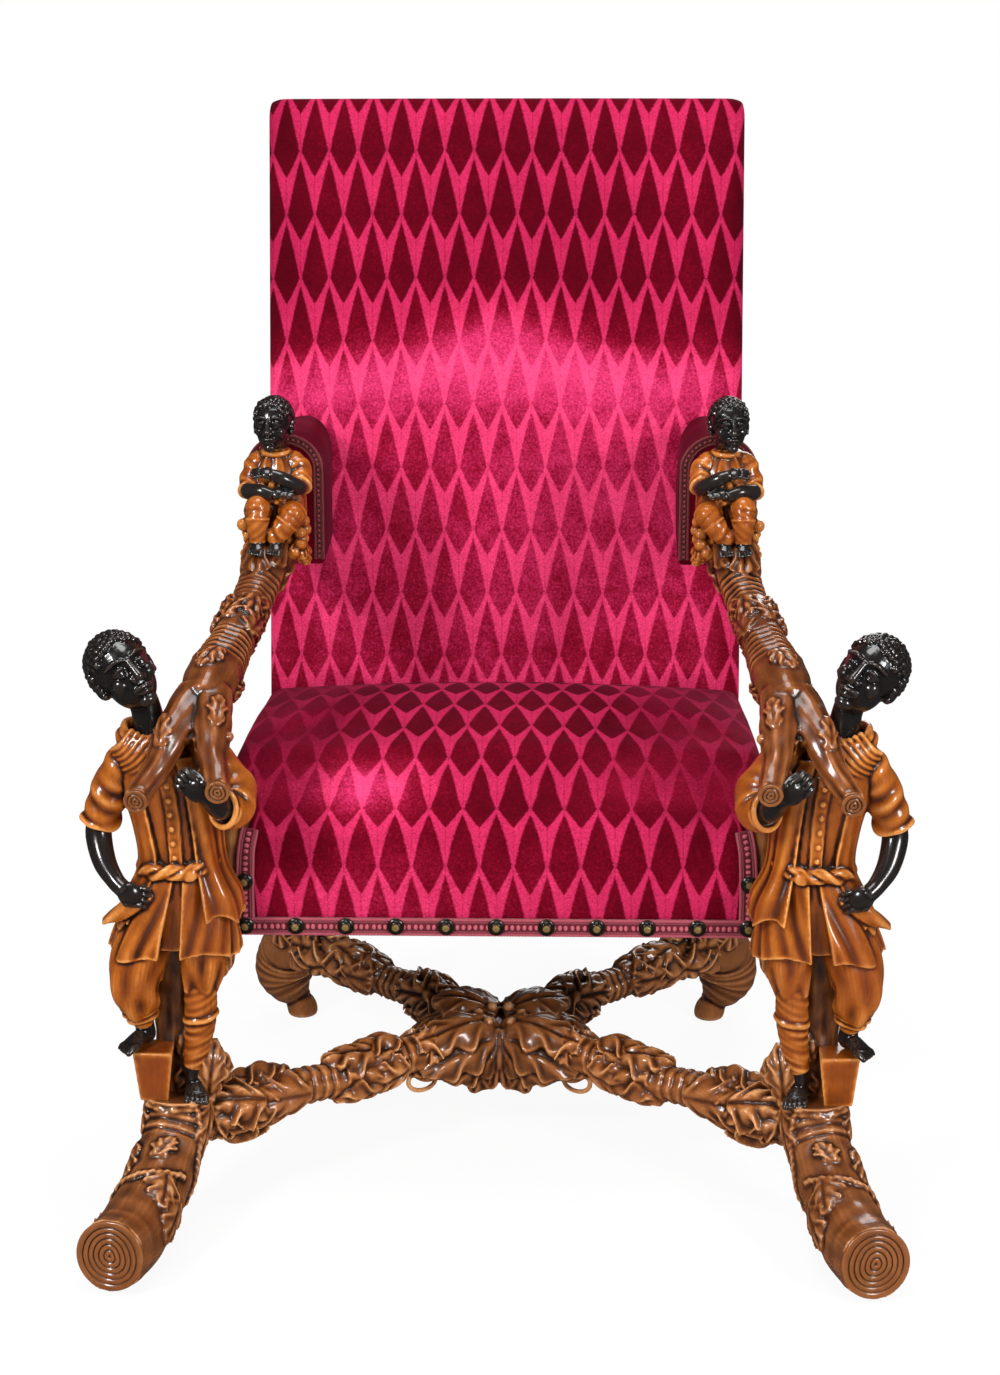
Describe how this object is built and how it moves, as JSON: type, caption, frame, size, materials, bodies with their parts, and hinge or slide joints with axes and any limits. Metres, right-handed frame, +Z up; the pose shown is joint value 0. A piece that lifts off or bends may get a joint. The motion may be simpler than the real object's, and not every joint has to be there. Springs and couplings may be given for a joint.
{
  "type": "carved armchair",
  "caption": "Carved armchair with velvet seat and back, branch arms held by standing figures, seated children on the arms, log feet and leafy crossed stretchers",
  "frame": {"origin": "on the floor, under the middle of the overall width and depth", "axes": "+Z up; the sitter faces -Y; +X is the right hand side seen from the front"},
  "size_m": [0.872, 0.8733, 1.232],
  "materials": {
    "pale_carving": "waxed carved boxwood",
    "dark_carving": "polished ebony",
    "frame_wood": "plain sawn beech",
    "velvet": "crimson cut velvet",
    "gimp": "woven rose braid",
    "nail": "dark patinated brass",
    "webbing": "jute webbing",
    "canvas": "hessian canvas",
    "stuffing": "curled hair stuffing"
  },
  "bodies": {
    "root": {"arm_left": "pale_carving", "arm_pad_left": "velvet", "arm_pad_right": "velvet", "arm_right": "pale_carving", "back_bottom_rail": "frame_wood", "back_canvas": "canvas", "back_cover": "velvet", "back_outer_cover": "velvet", "back_post_left": "frame_wood", "back_post_right": "frame_wood", "back_stuffing": "stuffing", "back_top_rail": "frame_wood", "back_webbing": "webbing", "child_body_left": "pale_carving", "child_body_right": "pale_carving", "child_feet_left": "dark_carving", "child_feet_right": "dark_carving", "child_hands_left": "dark_carving", "child_hands_right": "dark_carving", "child_head_left": "dark_carving", "child_head_right": "dark_carving", "figure_body_left": "pale_carving", "figure_body_right": "pale_carving", "figure_head_left": "dark_carving", "figure_head_right": "dark_carving", "figure_holding_arm_left": "dark_carving", "figure_holding_arm_right": "dark_carving", "figure_raised_foot_left": "dark_carving", "figure_raised_foot_right": "dark_carving", "figure_resting_arm_left": "dark_carving", "figure_resting_arm_right": "dark_carving", "figure_standing_foot_left": "dark_carving", "figure_standing_foot_right": "dark_carving", "figure_step_left": "pale_carving", "figure_step_right": "pale_carving", "front_leg_left": "pale_carving", "front_leg_right": "pale_carving", "front_post_left": "pale_carving", "front_post_right": "pale_carving", "rear_leg_left": "pale_carving", "rear_leg_right": "pale_carving", "seat_canvas": "canvas", "seat_corner_blocks": "frame_wood", "seat_cover": "velvet", "seat_front_rail": "frame_wood", "seat_gimp": "gimp", "seat_lining": "canvas", "seat_nails": "nail", "seat_rear_rail": "frame_wood", "seat_side_rail_left": "frame_wood", "seat_side_rail_right": "frame_wood", "seat_stuffing": "stuffing", "seat_webbing": "webbing", "stretcher_boss": "pale_carving", "stretcher_front_left": "pale_carving", "stretcher_front_right": "pale_carving", "stretcher_rear_left": "pale_carving", "stretcher_rear_right": "pale_carving"}
  },
  "joints": []
}
